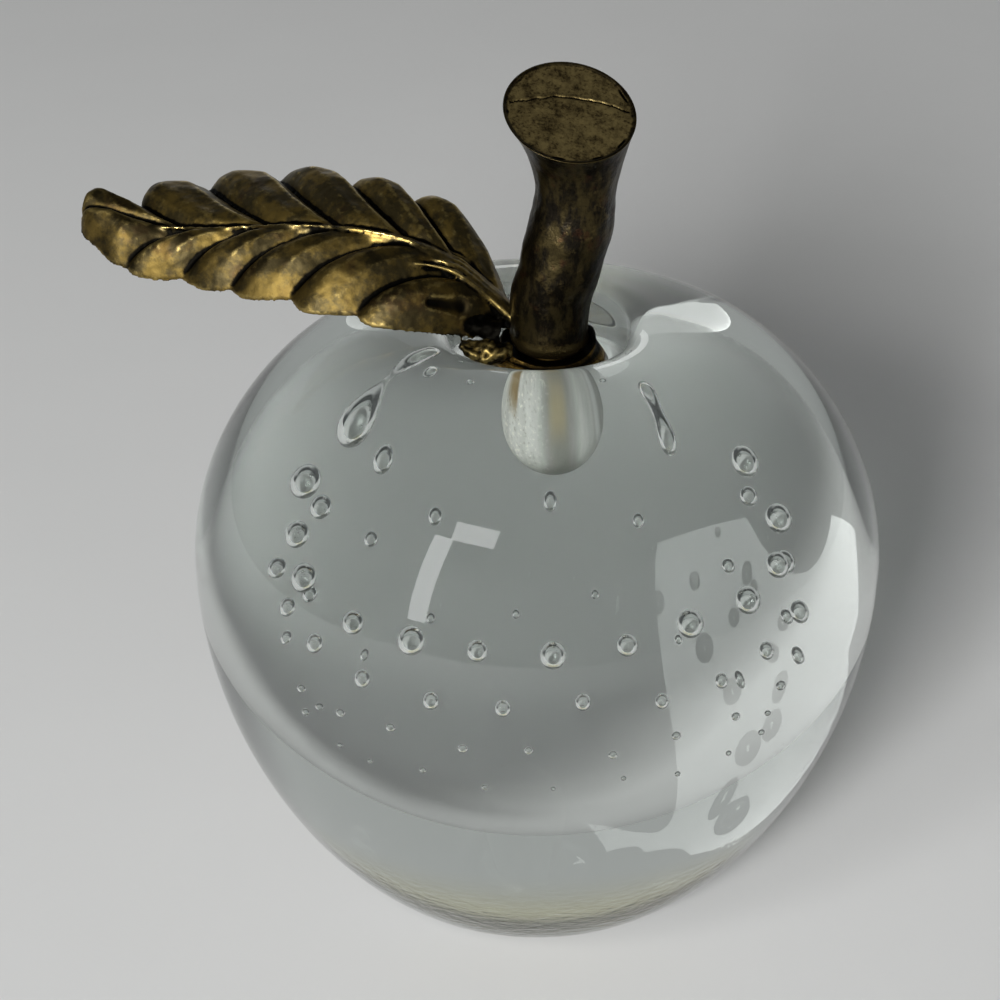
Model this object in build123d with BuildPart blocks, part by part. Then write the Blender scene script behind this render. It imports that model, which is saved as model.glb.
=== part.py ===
from build123d import *
from math import cos, radians, sin
import os

# A solid glass apple paperweight with rings of air bubbles, and a cast brass stem and leaf that
# are cemented into a drilled socket in its dimple. Millimetres, +Z up, origin at the middle of
# the ground base, viewer on the -Y side.

# Glass outline
glass_diameter = 84.0
belly_height = 44.0
belly_pull_down = 18.4
base_diameter = 42.0
base_pull = 13.7
base_flare_angle = 36.0
shoulder_height = 73.8
shoulder_diameter = 33.2
shoulder_pull_up = 15.1
shoulder_pull_out = 12.8

# Dimple in the crown, a funnel down to a flat spot face for the collar
dimple_depth = 4.8
seat_margin = 0.3
dimple_pull_in = 7.0
seat_pull_out = 2.3
seat_pull_up = 2.0

# Drilled socket under the stem, a little to the right of the glass axis
socket_offset = 1.4

# Rings of air bubbles round an inner gather of glass, from the belly down
bubbles_per_ring = 18
belly_ring_below = 2.0
belly_ring_radius = 20.8
belly_bubble_diameter = 2.4
belly_ring_angle = 5.0
ring_drop = 4.8
ring_radius_gain = 1.1
ring_radius_fall = 0.75
bubble_shrink = 0.62
ring_twist = 7.0
ring_count = 4

# Cement round and under the peg in the socket, and as a bed under the collar
cement_wall = 2.6
cement_under_peg = 3.3
cement_film = 0.2
cement_squeeze = 0.4

# Conical collar round the stem's foot
well_clearance = 0.85
collar_rim_wall = 0.5
collar_skirt_spread = 0.7
collar_height = 2.7
collar_floor = 1.2
collar_front_height = 1.5

# Peg that pins the stem to the glass
peg_diameter = 5.0
peg_in_glass = 17.0
peg_in_stem = 9.0
peg_chamfer = 0.5
peg_clearance = 0.05

# Stem, a cut twig that leans to the right and flares at its sawn end
stem_foot_diameter = 9.5
stem_foot_rounding = 2.0
stem_shank_rise = 6.4
stem_knuckle_rise = 11.4
stem_knuckle_lean = 1.3
stem_knuckle_diameter = 10.4
stem_neck_rise = 17.2
stem_neck_lean = 2.9
stem_neck_diameter = 10.2
stem_throat_rise = 22.4
stem_throat_lean = 3.2
stem_throat_diameter = 10.6
stem_end_rise = 29.8
stem_end_lean = 2.1
stem_end_diameter = 15.7
stem_end_tilt = 28.0
stem_end_roll = 8.0
bark_rim = 0.7
sawn_recess = 0.4

# Leaf, cast with puffed lobes on both sides of a midrib that arches out from the stem's foot
leaf_back_angle = 12.0
stalk_root_rise = 2.1
stalk_root_diameter = 3.0
crest_reach = 22.0
crest_rise = 11.7
droop_reach = 48.0
droop_rise = 10.4
leaf_reach = 58.6
tip_rise = 12.8
midrib_tip_diameter = 1.4
midrib_stations = 5
midrib_end_gap = 6.0
near_droop_angle = 22.0
far_rise_angle = 9.0
vein_angle = 50.0
lobe_half_width = 5.6
lobe_half_thickness = 1.9
lobe_overlap = 2.0
near_root_run = 10.7
near_lobe_pitch = 9.0
near_lobe_lengths = (14.6, 13.4, 11.2, 8.4, 7.0)
far_root_run = 9.4
far_lobe_pitch = 8.2
far_lobe_lengths = (13.2, 15.4, 17.4, 17.2, 11.8)
tip_half_length = 8.6
tip_half_width = 4.2
tip_curl_angle = 10.0

os.makedirs("parts", exist_ok=True)

glass_radius = glass_diameter / 2
base_radius = base_diameter / 2
shoulder_radius = shoulder_diameter / 2
seat_height = shoulder_height - dimple_depth
peg_radius = peg_diameter / 2
peg_bottom = seat_height - peg_in_glass
socket_radius = peg_radius + cement_wall
socket_bottom = peg_bottom - cement_under_peg
well_radius = stem_foot_diameter / 2 + well_clearance
collar_rim_radius = well_radius + collar_rim_wall
collar_radius = collar_rim_radius + collar_skirt_spread
collar_base = seat_height + cement_film
well_floor = collar_base + collar_floor
seat_radius = socket_offset + collar_radius + cement_squeeze + seat_margin
peg_top = well_floor + peg_in_stem
peg_hole_radius = peg_radius + peg_clearance

# The socket, collar, peg and stem's foot share this upright axis
stem_axis = Axis((socket_offset, 0, 0), (0, 0, 1))
stem_plane = Plane(origin=(socket_offset, 0, 0), x_dir=(1, 0, 0), z_dir=(0, -1, 0))

# Glass body: a turned outline, the ball-ended socket and the trapped bubbles
with BuildPart() as glass_body:
    with BuildSketch(Plane.XZ):
        with BuildLine():
            base_line = Line((0, 0), (base_radius, 0))
            base_handle = Vector(base_pull, 0).rotate(Axis.Z, base_flare_angle)
            lower = Bezier(
                base_line @ 1,
                base_line @ 1 + base_handle,
                (glass_radius, belly_height - belly_pull_down),
                (glass_radius, belly_height),
            )
            upper = Bezier(
                lower @ 1,
                (glass_radius, belly_height + shoulder_pull_up),
                (shoulder_radius + shoulder_pull_out, shoulder_height),
                (shoulder_radius, shoulder_height),
            )
            dimple = Bezier(
                upper @ 1,
                (shoulder_radius - dimple_pull_in, shoulder_height),
                (seat_radius + seat_pull_out, seat_height + seat_pull_up),
                (seat_radius, seat_height),
            )
            Polyline(dimple @ 1, (0, seat_height), (0, 0))
        make_face()
    revolve(axis=Axis.Z)
    with Locations((socket_offset, 0, socket_bottom + socket_radius)):
        Sphere(socket_radius, mode=Mode.SUBTRACT)
        Cylinder(
            socket_radius,
            seat_height - socket_bottom - socket_radius,
            align=(Align.CENTER, Align.CENTER, Align.MIN),
            mode=Mode.SUBTRACT,
        )
    for ring in range(ring_count):
        ring_height = belly_height - belly_ring_below - ring * ring_drop
        ring_radius = belly_ring_radius + ring * ring_radius_gain - ring**2 * ring_radius_fall
        bubble_radius = belly_bubble_diameter / 2 * bubble_shrink**ring
        first_angle = belly_ring_angle + ring * ring_twist - 90
        with Locations((0, 0, ring_height)):
            with PolarLocations(ring_radius, bubbles_per_ring, first_angle):
                Sphere(bubble_radius, mode=Mode.SUBTRACT)
glass_body.part.label = "glass_body"
export_step(glass_body.part, "parts/glass_body.step")

# Cement: fills the socket round the peg and spreads as a thin bed under the collar
with BuildPart() as cement:
    with BuildSketch(stem_plane):
        with BuildLine():
            rise = Line((0, socket_bottom), (0, peg_bottom))
            bore = Polyline(rise @ 1, (peg_radius, peg_bottom), (peg_radius, collar_base))
            bed = Polyline(
                bore @ 1,
                (collar_radius, collar_base),
                (collar_radius + cement_squeeze, seat_height),
                (socket_radius, seat_height),
                (socket_radius, socket_bottom + socket_radius),
            )
            RadiusArc(bed @ 1, rise @ 0, socket_radius)
        make_face()
    revolve(axis=stem_axis)
cement.part.label = "socket_cement"
export_step(cement.part, "parts/socket_cement.step")

# Collar: a conical skirt with a well for the stem's foot, cut away low at the front
with BuildPart() as collar:
    with BuildSketch(stem_plane):
        with BuildLine():
            Polyline(
                (peg_hole_radius, collar_base),
                (collar_radius, collar_base),
                (collar_rim_radius, collar_base + collar_height),
                (well_radius, collar_base + collar_height),
                (well_radius, well_floor),
                (peg_hole_radius, well_floor),
                close=True,
            )
        make_face()
    revolve(axis=stem_axis)
    front_lip = Vector(socket_offset, -collar_rim_radius, collar_base + collar_front_height)
    side_lip = Vector(socket_offset, 0, collar_base + collar_height)
    cut_normal = Vector(1, 0, 0).cross(side_lip - front_lip)
    split(bisect_by=Plane(front_lip, x_dir=(1, 0, 0), z_dir=cut_normal), keep=Keep.BOTTOM)
collar.part.label = "foot_collar"
export_step(collar.part, "parts/foot_collar.step")

# Peg: a plain rod through the collar, half in the cement and half in the stem
with BuildPart() as peg:
    with Locations((socket_offset, 0, peg_bottom)):
        Cylinder(peg_radius, peg_top - peg_bottom, align=(Align.CENTER, Align.CENTER, Align.MIN))
    chamfer(peg.edges().filter_by(GeomType.CIRCLE).sort_by(Axis.Z)[-1], peg_chamfer)
peg.part.label = "stem_peg"
export_step(peg.part, "parts/stem_peg.step")

# Stem: circles lofted along a leaning line, up to the tilted sawn end
stem_end_plane = Plane(
    origin=(socket_offset + stem_end_lean, 0, well_floor + stem_end_rise)
).rotated((stem_end_tilt, stem_end_roll, 0))
stem_stations = (
    (0, 0, stem_foot_diameter),
    (stem_shank_rise, 0, stem_foot_diameter),
    (stem_knuckle_rise, stem_knuckle_lean, stem_knuckle_diameter),
    (stem_neck_rise, stem_neck_lean, stem_neck_diameter),
    (stem_throat_rise, stem_throat_lean, stem_throat_diameter),
)
with BuildPart() as stem:
    for station_rise, station_lean, station_diameter in stem_stations:
        with BuildSketch(Plane.XY.offset(well_floor + station_rise)):
            with Locations((socket_offset + station_lean, 0)):
                Circle(station_diameter / 2)
    with BuildSketch(stem_end_plane):
        Circle(stem_end_diameter / 2)
    loft()
    fillet(stem.edges().sort_by(Axis.Z)[0], stem_foot_rounding)
    unbored_stem = stem.part
    with BuildSketch(stem_end_plane):
        Circle(stem_end_diameter / 2 - bark_rim)
    extrude(amount=-sawn_recess, mode=Mode.SUBTRACT)
    with Locations((socket_offset, 0, well_floor)):
        Cylinder(
            peg_hole_radius,
            peg_in_stem,
            align=(Align.CENTER, Align.CENTER, Align.MIN),
            mode=Mode.SUBTRACT,
        )
stem.part.label = "stem"
export_step(stem.part, "parts/stem.step")

# Leaf: its midrib lies in an upright plane that swings back from the left
up = Vector(0, 0, 1)
leaf_heading = Vector(-cos(radians(leaf_back_angle)), sin(radians(leaf_back_angle)), 0)
far_side = leaf_heading.cross(up)
leaf_plane = Plane(origin=(socket_offset, 0, well_floor), x_dir=leaf_heading, z_dir=far_side)
# The stalk's root is set into the stem's wall, halfway between the peg and the bark
stalk_root_reach = (peg_hole_radius + stem_foot_diameter / 2) / 2
with BuildLine(leaf_plane):
    midrib = Spline(
        (stalk_root_reach, stalk_root_rise),
        (crest_reach, crest_rise),
        (droop_reach, droop_rise),
        (leaf_reach, tip_rise),
    )


def midrib_at(run):
    """Point of the midrib at a distance along it from the stalk's root."""
    return midrib @ (run / midrib.length)


def lobe_plane(run, length, sideways):
    """Plane at the middle of a lobe that runs from the midrib outwards and towards the tip."""
    root = midrib_at(run)
    ahead = midrib_at(run + length * cos(radians(vein_angle)))
    outer_end = ahead + sideways * (length * sin(radians(vein_angle)))
    along = (outer_end - root).normalized()
    return Plane(
        origin=outer_end - along * ((length + lobe_overlap) / 2),
        x_dir=along,
        z_dir=(ahead - root).cross(sideways),
    )


near_sideways = -far_side * cos(radians(near_droop_angle)) - up * sin(radians(near_droop_angle))
far_sideways = far_side * cos(radians(far_rise_angle)) + up * sin(radians(far_rise_angle))
lobes = []
for root_run, pitch, lengths, sideways in (
    (near_root_run, near_lobe_pitch, near_lobe_lengths, near_sideways),
    (far_root_run, far_lobe_pitch, far_lobe_lengths, far_sideways),
):
    for step, length in enumerate(lengths):
        with BuildPart() as lobe:
            Sphere(1, rotation=(0, 90, 0))
            scale(by=((length + lobe_overlap) / 2, lobe_half_width, lobe_half_thickness))
        lobes.append(lobe_plane(root_run + step * pitch, length, sideways).location * lobe.part)

with BuildPart() as tip_lobe:
    Sphere(1, rotation=(0, 90, 0))
    scale(by=(tip_half_length, tip_half_width, lobe_half_thickness))
curl = leaf_heading * cos(radians(tip_curl_angle)) + up * sin(radians(tip_curl_angle))
tip_middle = midrib_at(midrib.length - tip_half_length)
tip_plane = Plane(origin=tip_middle, x_dir=curl, z_dir=far_side.cross(curl))
lobes.append(tip_plane.location * tip_lobe.part)

with BuildPart() as leaf:
    for station in range(midrib_stations):
        share = station / (midrib_stations - 1)
        rib_diameter = stalk_root_diameter + (midrib_tip_diameter - stalk_root_diameter) * share
        with BuildSketch(Plane(midrib ^ (share * (1 - midrib_end_gap / midrib.length)))):
            Circle(rib_diameter / 2)
    loft()
    add(lobes)
    add(unbored_stem, mode=Mode.SUBTRACT)
leaf.part.label = "leaf"
export_step(leaf.part, "parts/leaf.step")
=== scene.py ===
import math
import bmesh
import bpy
import numpy as np
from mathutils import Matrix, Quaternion, Vector, noise
from mathutils.geometry import intersect_point_line


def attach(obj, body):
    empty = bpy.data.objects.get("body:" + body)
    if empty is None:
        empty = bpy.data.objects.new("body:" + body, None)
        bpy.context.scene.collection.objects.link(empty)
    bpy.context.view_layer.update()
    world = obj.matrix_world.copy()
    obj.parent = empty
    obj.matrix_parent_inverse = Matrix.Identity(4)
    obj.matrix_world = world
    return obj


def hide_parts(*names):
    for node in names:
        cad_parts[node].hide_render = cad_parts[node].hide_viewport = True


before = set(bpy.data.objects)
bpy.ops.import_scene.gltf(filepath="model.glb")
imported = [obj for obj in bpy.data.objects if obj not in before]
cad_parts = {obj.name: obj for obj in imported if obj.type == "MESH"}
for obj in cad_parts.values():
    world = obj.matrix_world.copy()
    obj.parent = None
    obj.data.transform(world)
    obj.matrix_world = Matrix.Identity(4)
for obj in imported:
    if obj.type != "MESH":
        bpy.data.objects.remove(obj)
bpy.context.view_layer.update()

MM = 0.001

# Sizes of the ornament in millimetres, from the part's source, with the glass a hair smaller
GLASS_RADIUS = 41.99
BELLY_HEIGHT = 44.0
BASE_RADIUS = 21.0
SHOULDER_RADIUS = 16.6
SHOULDER_HEIGHT = 73.8
SEAT_RADIUS = 8.9
SEAT_HEIGHT = 69.0
SOCKET_OFFSET = 1.4
SOCKET_RADIUS = 5.1
SOCKET_BOTTOM = 48.7
COLLAR_BASE = 69.2
COLLAR_HEIGHT = 2.7
COLLAR_FRONT_DROP = 1.2
WELL_FLOOR = 70.4
STEM_END_RADIUS = 7.85
LEAF_BACK_ANGLE = 12.0


class Wire:
    """One socket of a node tree. Sums and products of wires add Math nodes."""

    def __init__(self, tree, socket):
        self.tree = tree
        self.socket = socket

    @staticmethod
    def add(tree, kind, settings=None, values=None, out=0):
        """Adds a node: its settings first, then the values of its sockets, or the wires that lead to them."""
        node = tree.nodes.new(kind)
        for name, value in (settings or {}).items():
            setattr(node, name, value)
        for name, value in (values or {}).items():
            wires = value if isinstance(value, list) else [value]
            if isinstance(wires[0], Wire):
                for wire in wires:
                    tree.links.new(wire.socket, node.inputs[name])
            else:
                node.inputs[name].default_value = value
        return Wire(tree, node.outputs[out]) if node.outputs else None

    def maths(self, operation, first, second):
        return Wire.add(self.tree, "ShaderNodeMath", {"operation": operation}, {0: first, 1: second})

    def __add__(self, other):
        return self.maths("ADD", self, other)

    def __radd__(self, other):
        return self.maths("ADD", other, self)

    def __sub__(self, other):
        return self.maths("SUBTRACT", self, other)

    def __rsub__(self, other):
        return self.maths("SUBTRACT", other, self)

    def __mul__(self, other):
        return self.maths("MULTIPLY", self, other)

    def __rmul__(self, other):
        return self.maths("MULTIPLY", other, self)

    def __truediv__(self, other):
        return self.maths("DIVIDE", self, other)

    def __rtruediv__(self, other):
        return self.maths("DIVIDE", other, self)

    def __pow__(self, other):
        return self.maths("POWER", self, other)

    def __rpow__(self, other):
        return self.maths("POWER", other, self)

    def ramp(self, low, high):
        """0 below low and 1 above high, with soft ends."""
        settings = {"interpolation_type": "SMOOTHSTEP"}
        return Wire.add(self.tree, "ShaderNodeMapRange", settings, {0: self, 1: low, 2: high})

    def blend(self, first, second):
        """A colour between two, by this wire."""
        return Wire.add(
            self.tree, "ShaderNodeMix", {"data_type": "RGBA"}, {0: self, 6: first, 7: second}, out=2
        )


def colour(red, green, blue):
    """A colour for a node socket, from its 0 to 255 values as seen on a screen."""
    linear = [c / 255 / 12.92 if c < 10.3 else ((c / 255 + 0.055) / 1.055) ** 2.4 for c in (red, green, blue)]
    return (*linear, 1.0)


class Finish:
    """A material with its Principled shader, and the textures that read Object coordinates."""

    def __init__(self, name):
        self.material = bpy.data.materials.new(name)
        self.material.use_nodes = True
        self.tree = self.material.node_tree
        self.tree.nodes.clear()
        self.place = self.add("ShaderNodeTexCoord", out="Object")

    def add(self, kind, settings=None, values=None, out=0):
        return Wire.add(self.tree, kind, settings, values, out)

    def grain(self, size_mm, detail=3.0, roughness=0.55, stretch=(1, 1, 1), shift=(0, 0, 0)):
        """Noise whose blotches are about size_mm across, longer along an axis that stretch divides."""
        turned = {"Vector": self.place, "Location": shift, "Scale": stretch}
        mapped = self.add("ShaderNodeMapping", None, turned)
        return self.add(
            "ShaderNodeTexNoise",
            None,
            {"Vector": mapped, "Scale": 1 / (size_mm * MM), "Detail": detail, "Roughness": roughness},
        )

    def relief(self, name):
        """A height that the piece's own mesh carries."""
        return self.add("ShaderNodeAttribute", {"attribute_name": name}, None, out="Fac")

    def bump(self, height, depth_mm, strength=1.0):
        return self.add(
            "ShaderNodeBump", None, {"Strength": strength, "Distance": depth_mm * MM, "Height": height}
        )

    def close(self, values, volume=None):
        """The shader itself, and what fills the piece where light passes through it."""
        ends = {"Surface": self.add("ShaderNodeBsdfPrincipled", None, values)}
        if volume:
            ends["Volume"] = self.add("ShaderNodeVolumeAbsorption", None, volume)
        self.add("ShaderNodeOutputMaterial", None, ends)
        return self.material


def smooth_line(points, count):
    """Points of a natural cubic spline through the given points, evenly spread along it."""
    points = np.asarray(points, float)
    runs = np.concatenate([[0], np.cumsum(np.linalg.norm(np.diff(points, axis=0), axis=1))])
    return spline_at(runs, points, np.linspace(0, runs[-1], count))


def spline_at(runs, points, at):
    """Natural cubic spline through points at the given runs, read at other runs."""
    runs = np.asarray(runs, float)
    points = np.asarray(points, float)
    flat = points.reshape(len(runs), -1)
    gap = np.diff(runs)
    system = np.eye(len(runs))
    right = np.zeros_like(flat)
    for i in range(1, len(runs) - 1):
        system[i, i - 1 : i + 2] = gap[i - 1], 2 * (gap[i - 1] + gap[i]), gap[i]
        right[i] = 6 * ((flat[i + 1] - flat[i]) / gap[i] - (flat[i] - flat[i - 1]) / gap[i - 1])
    bend = np.linalg.solve(system, right)
    at = np.atleast_1d(np.asarray(at, float))
    span = np.clip(np.searchsorted(runs, at, side="right") - 1, 0, len(gap) - 1)
    width = gap[span][:, None]
    after = (at - runs[span])[:, None] / width
    before = 1 - after
    value = before * flat[span] + after * flat[span + 1]
    value += width**2 / 6 * ((before**3 - before) * bend[span] + (after**3 - after) * bend[span + 1])
    return value.reshape(len(at), *points.shape[1:])


def bezier(first, pull, draw, last, count):
    """Points of a cubic curve, without its first one."""
    t = np.linspace(0, 1, count + 1)[1:, None]
    first, pull, draw, last = (np.asarray(p, float) for p in (first, pull, draw, last))
    return (1 - t) ** 3 * first + 3 * (1 - t) ** 2 * t * pull + 3 * (1 - t) * t**2 * draw + t**3 * last


def mesh_piece(name, points, faces=()):
    """An object at the origin from points in millimetres."""
    mesh = bpy.data.meshes.new(name)
    mesh.from_pydata([tuple(p) for p in np.asarray(points, float) * MM], [], faces)
    mesh.update()
    piece = bpy.data.objects.new(name, mesh)
    bpy.context.scene.collection.objects.link(piece)
    return piece


def ring_faces(rings, around, closed_ends=True):
    """Quads between rings of points that follow each other, and a cap at both ends if they are closed."""
    faces = []
    for ring in range(rings - 1):
        for step in range(around):
            after = (step + 1) % around
            low = ring * around
            faces.append((low + step, low + after, low + around + after, low + around + step))
    if closed_ends:
        last = (rings - 1) * around
        faces.append(tuple(reversed(range(around))))
        faces.append(tuple(last + step for step in range(around)))
    return faces


def circle(centre, radius, across, deep, turns):
    """Points round a centre, in the plane of two directions."""
    return centre + radius * (np.cos(turns)[:, None] * across + np.sin(turns)[:, None] * deep)


def applied(piece):
    """Turns what the modifiers make into the piece's own plain mesh."""
    graph = bpy.context.evaluated_depsgraph_get()
    mesh = bpy.data.meshes.new_from_object(piece.evaluated_get(graph))
    old = piece.data
    piece.modifiers.clear()
    piece.data = mesh
    bpy.data.meshes.remove(old)
    mesh.name = piece.name


def points_of(mesh):
    """The mesh's points in metres."""
    points = np.zeros(len(mesh.vertices) * 3)
    mesh.vertices.foreach_get("co", points)
    return points.reshape(-1, 3)


def normals_of(mesh):
    """The mesh's normals at its points."""
    normals = np.zeros(len(mesh.vertices) * 3, np.float32)
    mesh.vertex_normals.foreach_get("vector", normals)
    return normals.reshape(-1, 3).astype(float)


def smoothed(mesh, points, rounds):
    """The points after each has moved to the middle of its neighbours a number of times."""
    edges = np.zeros(len(mesh.edges) * 2, np.int64)
    mesh.edges.foreach_get("vertices", edges)
    one, two = edges.reshape(-1, 2).T
    count = np.bincount(one, minlength=len(points)) + np.bincount(two, minlength=len(points))
    for _ in range(rounds):
        total = np.zeros_like(points)
        for axis in range(3):
            total[:, axis] = np.bincount(one, points[two, axis], len(points))
            total[:, axis] += np.bincount(two, points[one, axis], len(points))
        points = 0.5 * points + 0.5 * total / count[:, None]
    return points


def add_relief(piece, name, rounds, depth_mm):
    """Stores how far each point stands above its surroundings: 0.5 is level, 0 deep, 1 proud."""
    mesh = piece.data
    points = points_of(mesh)
    level = smoothed(mesh, points, rounds)
    height = ((points - level) * normals_of(mesh)).sum(axis=1) / (depth_mm * MM)
    values = np.clip(0.5 + 0.5 * height, 0, 1).astype(np.float32)
    mesh.attributes.new(name, "FLOAT", "POINT").data.foreach_set("value", values)


def add_mask(piece, name, share):
    """Stores a share from 0 to 1 for each point, from its place in millimetres."""
    values = np.array([share(Vector(p)) for p in points_of(piece.data) / MM], np.float32)
    piece.data.attributes.new(name, "FLOAT", "POINT").data.foreach_set("value", values)


def displaced(piece, height_mm):
    """Moves each point along its normal by what height_mm gives for its place in millimetres."""
    mesh = piece.data
    points = points_of(mesh)
    normals = normals_of(mesh)
    heights = np.array([height_mm(Vector(p)) for p in points / MM]) * MM
    mesh.vertices.foreach_set("co", (points + normals * heights[:, None]).ravel())
    mesh.update()


def shade_smooth(piece):
    piece.data.polygons.foreach_set("use_smooth", [True] * len(piece.data.polygons))


def settle(piece, node, material=None):
    """Puts the piece in the place of its solid."""
    if material:
        piece.data.materials.clear()
        piece.data.materials.append(material)
    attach(piece, "root")
    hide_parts(node)


# Finishes


def bubble_glass():
    """Polished clear glass: ground matt under its base, and at the front wavy and a little yellow just above
    it.
    """
    finish = Finish("bubble_glass")
    y, height = (finish.add("ShaderNodeSeparateXYZ", None, {0: finish.place}, out=axis) for axis in "YZ")
    ground = 1 - height.ramp(0.00005, 0.0006)
    foot = (1 - height.ramp(0.009, 0.02)) * (y * -1).ramp(0.018, 0.026)
    frost = finish.grain(0.6, detail=5)
    wave = finish.grain(1.8, detail=3, stretch=(1, 1, 2.0))
    tint = foot.blend(colour(250, 253, 251), colour(250, 240, 178))
    return finish.close(
        {
            "Base Color": tint,
            "Roughness": ground * (0.2 + 0.3 * frost),
            "IOR": 1.5,
            "Transmission Weight": 1.0,
            "Normal": finish.bump(wave * foot, 0.5, 0.4),
        },
        {"Color": colour(204, 214, 209), "Density": 3.0},
    )


def set_cement():
    """Set resin: grey, dark over the peg, lighter on its left with frost flecks and painted light, a painted
    highlight line near its right edge, stained near the top.
    """
    finish = Finish("set_cement")
    x, height = (finish.add("ShaderNodeSeparateXYZ", None, {0: finish.place}, out=axis) for axis in "XZ")
    leftness = (x - SOCKET_OFFSET * MM) * (-1 / (SOCKET_RADIUS * MM))
    cloud = finish.grain(2.4, detail=4)
    streak = finish.grain(0.9, detail=4, stretch=(1, 1, 0.18), shift=(1, 4, 0))
    fleck = finish.grain(0.35, detail=4, shift=(2, 0, 1))
    middle = leftness + 0.12
    core = 1 - (middle * middle).ramp(0.0, 0.2)
    glow = 1 - (middle * middle).ramp(0.0, 0.05)
    glow = glow * height.ramp(0.053, 0.0565) * (1 - height.ramp(0.057, 0.0605))
    # Lighter on the left: partly the whitened frosted wall with its flecks, partly painted light, a painted
    # reflection of the bright floor.
    pale = (leftness + 0.35 * (cloud - 0.5)).ramp(-0.1, 0.75)
    low = 1 - (height + 0.002 * (cloud - 0.5)).ramp(0.0495, 0.0525)
    base = streak.ramp(0.3, 0.7).blend(colour(170, 173, 168), colour(190, 193, 188))
    base = (core * 0.75).blend(base, colour(86, 85, 78))
    base = (glow * 0.6).blend(base, colour(160, 148, 112))
    base = pale.blend(base, streak.ramp(0.3, 0.7).blend(colour(178, 180, 174), colour(206, 208, 202)))
    base = (pale * fleck.ramp(0.56, 0.66)).blend(base, colour(226, 226, 214))
    base = (pale * (1 - fleck.ramp(0.34, 0.42)) * 0.6).blend(base, colour(126, 124, 108))
    base = (low * 0.7).blend(base, colour(98, 101, 96))
    # A painted highlight: a thin bright line near the plug's right edge.
    rim = (leftness * -1).ramp(0.8, 0.85) * (1 - (leftness * -1).ramp(0.88, 0.92))
    base = (rim * 0.8).blend(base, colour(214, 217, 214))
    stain = (leftness + 0.05 * (cloud - 0.5)).ramp(0.66, 0.72)
    stain = stain * (height + 0.003 * (cloud - 0.5)).ramp(0.0545, 0.0565)
    base = (stain * 0.9).blend(base, colour(122, 98, 40))
    return finish.close(
        {
            "Base Color": base,
            "Roughness": 0.4 + 0.3 * cloud,
            "Normal": finish.bump(fleck, 0.06, 0.5),
        }
    )


def antique_brass(name, dark, brown, gold, rubbed, size_mm, rough_skin, streak=1.0, sawn=None):
    """Cast brass: black in the hollows, brown over the flats, and rubbed bright where it stands proud."""
    finish = Finish(name)
    broad = finish.relief("broad_relief")
    fine = finish.relief("fine_relief")
    blotch = finish.grain(size_mm, detail=6, roughness=0.68, stretch=(1, 1, streak))
    rusty = finish.grain(size_mm * 1.4, detail=4, roughness=0.6, shift=(7, 2, 4))
    fleck = finish.grain(size_mm * 0.22, detail=4, roughness=0.65, shift=(3, 1, 2))
    hammer = finish.grain(0.9, detail=3, roughness=0.6, shift=(1, 5, 2))
    tone = blotch.ramp(0.42, 0.6).blend(brown, gold)
    tone = (rusty.ramp(0.56, 0.68) * 0.35).blend(tone, colour(66, 38, 22))
    if sawn:
        face = finish.relief("sawn_face")
        worn = (blotch * 0.7 + fleck * 0.3).ramp(0.36, 0.62)
        tone = face.blend(tone, worn.blend(colour(92, 77, 47), sawn))
    # Dark patches and painted shade stored on the piece: they darken it and take away its rubbed brightness.
    soot = finish.relief("soot")
    clean = (fine * 0.55 + broad * 0.45 + (fleck - 0.5) * 0.2).ramp(0.29, 0.46)
    pits = 1 - (fleck * 0.7 + blotch * 0.3).ramp(0.38, 0.48)
    hollow = 1 - clean * (1 - pits * rough_skin) * (1 - soot)
    tone = hollow.blend(tone, dark)
    proud = (fine * 0.6 + broad * 0.4 + (fleck - 0.5) * 0.4).ramp(0.6, 0.76) * (1 - soot)
    if sawn:
        proud = proud * (1 - 0.7 * face)
    tone = (proud * 0.8).blend(tone, rubbed)
    return finish.close(
        {
            "Base Color": tone,
            "Metallic": 0.92 + 0.08 * hollow,
            "Roughness": 0.26 + 0.22 * blotch + 0.2 * hollow - 0.08 * proud,
            "Normal": finish.bump(hammer * 0.75 + fleck * 0.25, 0.22, rough_skin),
        }
    )


def peg_brass():
    """Drawn rod with fine rings from turning."""
    finish = Finish("peg_brass")
    lines = finish.grain(0.25, detail=2, stretch=(0.1, 0.1, 1))
    tone = lines.blend(colour(120, 98, 52), colour(164, 136, 80))
    return finish.close({"Base Color": tone, "Metallic": 1.0, "Roughness": 0.3 + 0.2 * lines})


def studio_floor():
    """Matt pale grey, very slightly mottled."""
    finish = Finish("pale_floor")
    mottle = finish.grain(40.0, detail=3)
    tone = mottle.blend(colour(220, 220, 219), colour(224, 224, 223))
    return finish.close({"Base Color": tone, "Roughness": 0.9})


# Glass apple: an outline turned by nodes, with rings of bubbles that are left open inside it


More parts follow.
